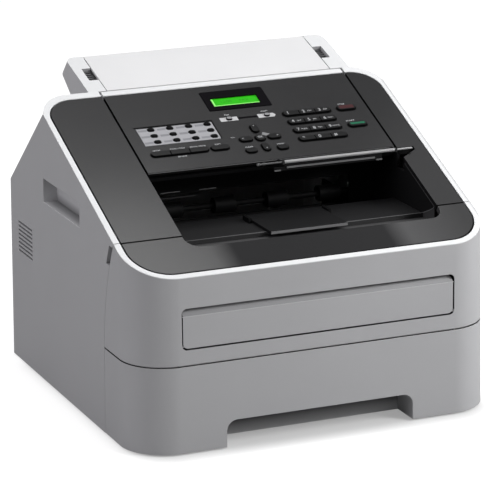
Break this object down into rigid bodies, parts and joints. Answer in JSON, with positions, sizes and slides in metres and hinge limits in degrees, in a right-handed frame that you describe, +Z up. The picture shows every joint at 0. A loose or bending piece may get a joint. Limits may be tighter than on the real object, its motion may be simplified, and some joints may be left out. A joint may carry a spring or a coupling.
{
  "type": "fax machine",
  "caption": "Desktop laser fax machine with a sloping keypad panel, rear document feeder, output bay, front cover and slide-out paper tray.",
  "frame": {"origin": "on the floor under the middle of the bounding box", "axes": "+X to the right seen from the front, the front faces -Y, +Z up"},
  "size_m": [0.368, 0.362, 0.3033],
  "materials": {
    "side_grey": "textured satin grey",
    "front_grey": "textured satin grey",
    "trim_white": "satin white",
    "dark_plastic": "dark charcoal",
    "black_plastic": "black",
    "gloss_black": "black gloss",
    "feeder_grey": "grey",
    "display": "green lit display",
    "card": "pale card",
    "stop_red": "dark red",
    "start_green": "teal green",
    "rubber": "black rubber",
    "steel": "zinc plated",
    "board": "green circuit board"
  },
  "bodies": {
    "base": {"base_frame": "black_plastic", "left_side_cover": "side_grey", "right_side_cover": "side_grey", "rear_cover": "side_grey", "top_cover": "dark_plastic", "top_trim": "trim_white", "document_chute": "black_plastic", "scan_unit": "black_plastic", "adf_housing": "side_grey", "feet": "rubber", "screws": "steel", "rear_sockets": "black_plastic", "main_board": "board", "drum_unit": "black_plastic", "toner_cartridge": "black_plastic", "fuser_unit": "black_plastic"},
    "front_cover": {"front_cover": "front_grey", "front_cover_lip": "dark_plastic", "front_trim": "trim_white"},
    "feed_slot_cover": {"feed_slot_cover": "front_grey"},
    "tray": {"tray_front": "front_grey", "paper_tray": "black_plastic"},
    "lift_plate": {"lift_plate": "steel"},
    "rear_door": {"rear_door": "side_grey"},
    "control_panel": {"control_panel": "dark_plastic", "panel_trim": "trim_white", "lcd_bezel": "gloss_black", "lcd_screen": "display", "label_card": "card"},
    "document_flap": {"document_flap": "dark_plastic"},
    "output_flap": {"output_flap": "dark_plastic"},
    "document_support": {"document_support": "feeder_grey"},
    "guide_left": {"document_guide_left": "black_plastic"},
    "guide_right": {"document_guide_right": "black_plastic"},
    "adf_roller": {"adf_roller": "rubber"},
    "exit_roller": {"exit_roller": "rubber"},
    "pickup_roller": {"pickup_roller": "rubber"},
    "key_one": {"key_one": "gloss_black"},
    "key_two": {"key_two": "gloss_black"},
    "key_three": {"key_three": "gloss_black"},
    "key_four": {"key_four": "gloss_black"},
    "key_five": {"key_five": "gloss_black"},
    "key_six": {"key_six": "gloss_black"},
    "key_seven": {"key_seven": "gloss_black"},
    "key_eight": {"key_eight": "gloss_black"},
    "key_nine": {"key_nine": "gloss_black"},
    "key_star": {"key_star": "gloss_black"},
    "key_zero": {"key_zero": "gloss_black"},
    "key_hash": {"key_hash": "gloss_black"},
    "start_key": {"start_key": "start_green"},
    "stop_key": {"stop_key": "stop_red"},
    "ok_key": {"ok_key": "gloss_black"},
    "up_key": {"up_key": "gloss_black"},
    "down_key": {"down_key": "gloss_black"},
    "left_key": {"left_key": "gloss_black"},
    "right_key": {"right_key": "gloss_black"},
    "clear_key": {"clear_key": "gloss_black"},
    "back_key": {"back_key": "gloss_black"},
    "function_keys": {"function_keys": "gloss_black"},
    "one_touch_keys": {"one_touch_keys": "gloss_black"}
  },
  "joints": [
    {"name": "front_cover_hinge", "type": "hinge", "parent": "base", "child": "front_cover", "pos_m": [0, -0.1739, 0.0889], "axis": [1, 0, 0], "range_deg": [0, 70]},
    {"name": "feed_slot_hinge", "type": "hinge", "parent": "front_cover", "child": "feed_slot_cover", "pos_m": [0, -0.1777, 0.1033], "axis": [1, 0, 0], "range_deg": [0, 60]},
    {"name": "tray_slide", "type": "slide", "parent": "base", "child": "tray", "axis": [0, -1, 0], "range_m": [0, 0.28]},
    {"name": "lift_plate_hinge", "type": "hinge", "parent": "tray", "child": "lift_plate", "pos_m": [0, 0.018, 0.0104], "axis": [-1, 0, 0], "range_deg": [0, 8]},
    {"name": "rear_door_hinge", "type": "hinge", "parent": "base", "child": "rear_door", "pos_m": [0, 0.1725, 0.0235], "axis": [-1, 0, 0], "range_deg": [0, 80]},
    {"name": "control_panel_hinge", "type": "hinge", "parent": "base", "child": "control_panel", "pos_m": [0.016, 0.09, 0.2789], "axis": [-1, 0, 0], "range_deg": [0, 45]},
    {"name": "document_flap_hinge", "type": "hinge", "parent": "control_panel", "child": "document_flap", "pos_m": [0.076, -0.045, 0.2291], "axis": [-1, 0, 0], "range_deg": [0, 85]},
    {"name": "output_flap_hinge", "type": "hinge", "parent": "base", "child": "output_flap", "pos_m": [0.0225, -0.047, 0.1782], "axis": [-1, 0, 0], "range_deg": [0, 30]},
    {"name": "document_support_hinge", "type": "hinge", "parent": "base", "child": "document_support", "pos_m": [0.016, 0.16105, 0.3012], "axis": [-1, 0, 0], "range_deg": [0, 115]},
    {"name": "guide_left_slide", "type": "slide", "parent": "base", "child": "guide_left", "axis": [1, 0, 0], "range_m": [0, 0.038]},
    {"name": "guide_right_slide", "type": "slide", "parent": "base", "child": "guide_right", "axis": [1, 0, 0], "range_m": [-0.038, 0]},
    {"name": "adf_roller_spin", "type": "hinge", "parent": "base", "child": "adf_roller", "pos_m": [0.016, 0.07096, 0.24743], "axis": [1, 0, 0], "continuous": true},
    {"name": "exit_roller_spin", "type": "hinge", "parent": "base", "child": "exit_roller", "pos_m": [0.016, 0.025, 0.174], "axis": [1, 0, 0], "continuous": true},
    {"name": "pickup_roller_spin", "type": "hinge", "parent": "base", "child": "pickup_roller", "pos_m": [0, -0.118, 0.076], "axis": [1, 0, 0], "continuous": true},
    {"name": "key_one_press", "type": "slide", "parent": "control_panel", "child": "key_one", "axis": [0, 0.3875, -0.9219], "range_m": [0, 0.001], "stiffness_N_per_m": 200},
    {"name": "key_two_press", "type": "slide", "parent": "control_panel", "child": "key_two", "axis": [0, 0.3875, -0.9219], "range_m": [0, 0.001], "stiffness_N_per_m": 200},
    {"name": "key_three_press", "type": "slide", "parent": "control_panel", "child": "key_three", "axis": [0, 0.3875, -0.9219], "range_m": [0, 0.001], "stiffness_N_per_m": 200},
    {"name": "key_four_press", "type": "slide", "parent": "control_panel", "child": "key_four", "axis": [0, 0.3875, -0.9219], "range_m": [0, 0.001], "stiffness_N_per_m": 200},
    {"name": "key_five_press", "type": "slide", "parent": "control_panel", "child": "key_five", "axis": [0, 0.3875, -0.9219], "range_m": [0, 0.001], "stiffness_N_per_m": 200},
    {"name": "key_six_press", "type": "slide", "parent": "control_panel", "child": "key_six", "axis": [0, 0.3875, -0.9219], "range_m": [0, 0.001], "stiffness_N_per_m": 200},
    {"name": "key_seven_press", "type": "slide", "parent": "control_panel", "child": "key_seven", "axis": [0, 0.3875, -0.9219], "range_m": [0, 0.001], "stiffness_N_per_m": 200},
    {"name": "key_eight_press", "type": "slide", "parent": "control_panel", "child": "key_eight", "axis": [0, 0.3875, -0.9219], "range_m": [0, 0.001], "stiffness_N_per_m": 200},
    {"name": "key_nine_press", "type": "slide", "parent": "control_panel", "child": "key_nine", "axis": [0, 0.3875, -0.9219], "range_m": [0, 0.001], "stiffness_N_per_m": 200},
    {"name": "key_star_press", "type": "slide", "parent": "control_panel", "child": "key_star", "axis": [0, 0.3875, -0.9219], "range_m": [0, 0.001], "stiffness_N_per_m": 200},
    {"name": "key_zero_press", "type": "slide", "parent": "control_panel", "child": "key_zero", "axis": [0, 0.3875, -0.9219], "range_m": [0, 0.001], "stiffness_N_per_m": 200},
    {"name": "key_hash_press", "type": "slide", "parent": "control_panel", "child": "key_hash", "axis": [0, 0.3875, -0.9219], "range_m": [0, 0.001], "stiffness_N_per_m": 200},
    {"name": "start_key_press", "type": "slide", "parent": "control_panel", "child": "start_key", "axis": [0, 0.3875, -0.9219], "range_m": [0, 0.001], "stiffness_N_per_m": 200},
    {"name": "stop_key_press", "type": "slide", "parent": "control_panel", "child": "stop_key", "axis": [0, 0.3875, -0.9219], "range_m": [0, 0.001], "stiffness_N_per_m": 200},
    {"name": "ok_key_press", "type": "slide", "parent": "control_panel", "child": "ok_key", "axis": [0, 0.3875, -0.9219], "range_m": [0, 0.001], "stiffness_N_per_m": 200},
    {"name": "up_key_press", "type": "slide", "parent": "control_panel", "child": "up_key", "axis": [0, 0.3875, -0.9219], "range_m": [0, 0.001], "stiffness_N_per_m": 200},
    {"name": "down_key_press", "type": "slide", "parent": "control_panel", "child": "down_key", "axis": [0, 0.3875, -0.9219], "range_m": [0, 0.0009], "stiffness_N_per_m": 200},
    {"name": "left_key_press", "type": "slide", "parent": "control_panel", "child": "left_key", "axis": [0, 0.3875, -0.9219], "range_m": [0, 0.001], "stiffness_N_per_m": 200},
    {"name": "right_key_press", "type": "slide", "parent": "control_panel", "child": "right_key", "axis": [0, 0.3875, -0.9219], "range_m": [0, 0.001], "stiffness_N_per_m": 200},
    {"name": "clear_key_press", "type": "slide", "parent": "control_panel", "child": "clear_key", "axis": [0, 0.3875, -0.9219], "range_m": [0, 0.0009], "stiffness_N_per_m": 200},
    {"name": "back_key_press", "type": "slide", "parent": "control_panel", "child": "back_key", "axis": [0, 0.3875, -0.9219], "range_m": [0, 0.0009], "stiffness_N_per_m": 200},
    {"name": "function_keys_press", "type": "slide", "parent": "control_panel", "child": "function_keys", "axis": [0, 0.3875, -0.9219], "range_m": [0, 0.001], "stiffness_N_per_m": 400},
    {"name": "one_touch_keys_press", "type": "slide", "parent": "control_panel", "child": "one_touch_keys", "axis": [0, 0.3875, -0.9219], "range_m": [0, 0.001], "stiffness_N_per_m": 400}
  ],
  "couplings": [
    {"joint": "guide_right_slide", "follows": "guide_left_slide", "ratio": -1}
  ]
}
